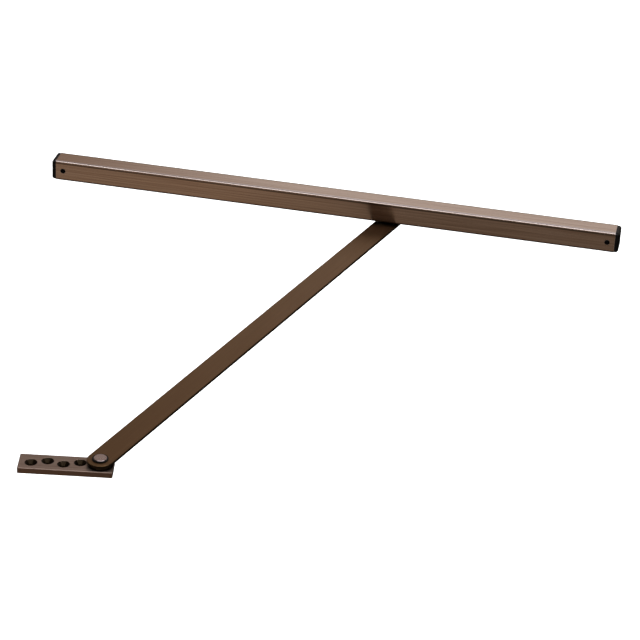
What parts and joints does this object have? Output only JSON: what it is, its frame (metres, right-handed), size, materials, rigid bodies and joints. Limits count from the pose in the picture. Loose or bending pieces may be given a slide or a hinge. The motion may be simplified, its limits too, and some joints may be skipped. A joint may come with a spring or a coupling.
{
  "type": "slide-track door or sash holder",
  "caption": "Square slotted track with capped ends, a slide inside it, and a flat arm that turns on a stud in a drilled frame bracket; it limits how far a sash or door opens.",
  "frame": {"origin": "on the track's back face, halfway between the two track fixing holes", "axes": "+X along the track, away from the sprung stop; +Y out of the track's back face, towards the sash or door it is screwed to; +Z from the bracket's side to the track's side"},
  "size_m": [0.6044, 0.5691, 0.0355],
  "materials": {
    "track_bronze": "satin dark bronze, brushed lengthwise",
    "arm_bronze": "satin dark bronze",
    "bracket_bronze": "satin dark bronze",
    "stud_steel": "worn satin",
    "dark_steel": "blackened",
    "black_plastic": "fine matt",
    "nylon": "satin, off-white",
    "rubber": "matt",
    "cast_block": "as cast",
    "spring_steel": "drawn wire",
    "bearing_bronze": "sintered"
  },
  "bodies": {
    "track": {"track_tube": "track_bronze", "track_dowels": "dark_steel", "end_cap_left": "black_plastic", "end_cap_right": "black_plastic", "end_block_left": "black_plastic", "end_block_right": "black_plastic", "far_bumper": "rubber", "spring_guide": "cast_block", "shock_spring": "spring_steel"},
    "stop": {"buffer_plunger": "nylon", "plunger_ring": "spring_steel", "stop_buffer": "rubber"},
    "slide": {"slide_block": "cast_block", "slide_shoe_left": "nylon", "slide_shoe_right": "nylon", "slide_bushing": "bearing_bronze"},
    "arm": {"arm_bar": "arm_bronze", "arm_bushing": "bearing_bronze", "slide_pivot_pin": "dark_steel", "pin_ring": "spring_steel", "friction_washer": "spring_steel", "thrust_washer": "black_plastic"},
    "bracket": {"frame_bracket": "bracket_bronze", "pivot_stud": "stud_steel", "head_washer": "black_plastic", "pivot_spacer": "dark_steel"}
  },
  "joints": [
    {"name": "stop_travel", "type": "slide", "parent": "track", "child": "stop", "axis": [-1, 0, 0], "range_m": [0, 0.012], "stiffness_N_per_m": 3000, "springref_m": -0.004, "deforming": ["shock_spring"]},
    {"name": "slide_travel", "type": "slide", "parent": "track", "child": "slide", "axis": [1, 0, 0], "range_m": [-0.2264, 0.1754]},
    {"name": "arm_swing", "type": "hinge", "parent": "slide", "child": "arm", "pos_m": [0.062, -0.0111, -0.0126], "axis": [0, 0, 1], "range_deg": [-73, 107]},
    {"name": "bracket_swing", "type": "hinge", "parent": "arm", "child": "bracket", "pos_m": [-0.10114, -0.54472, -0.0188], "axis": [0, 0, 1], "continuous": true}
  ]
}
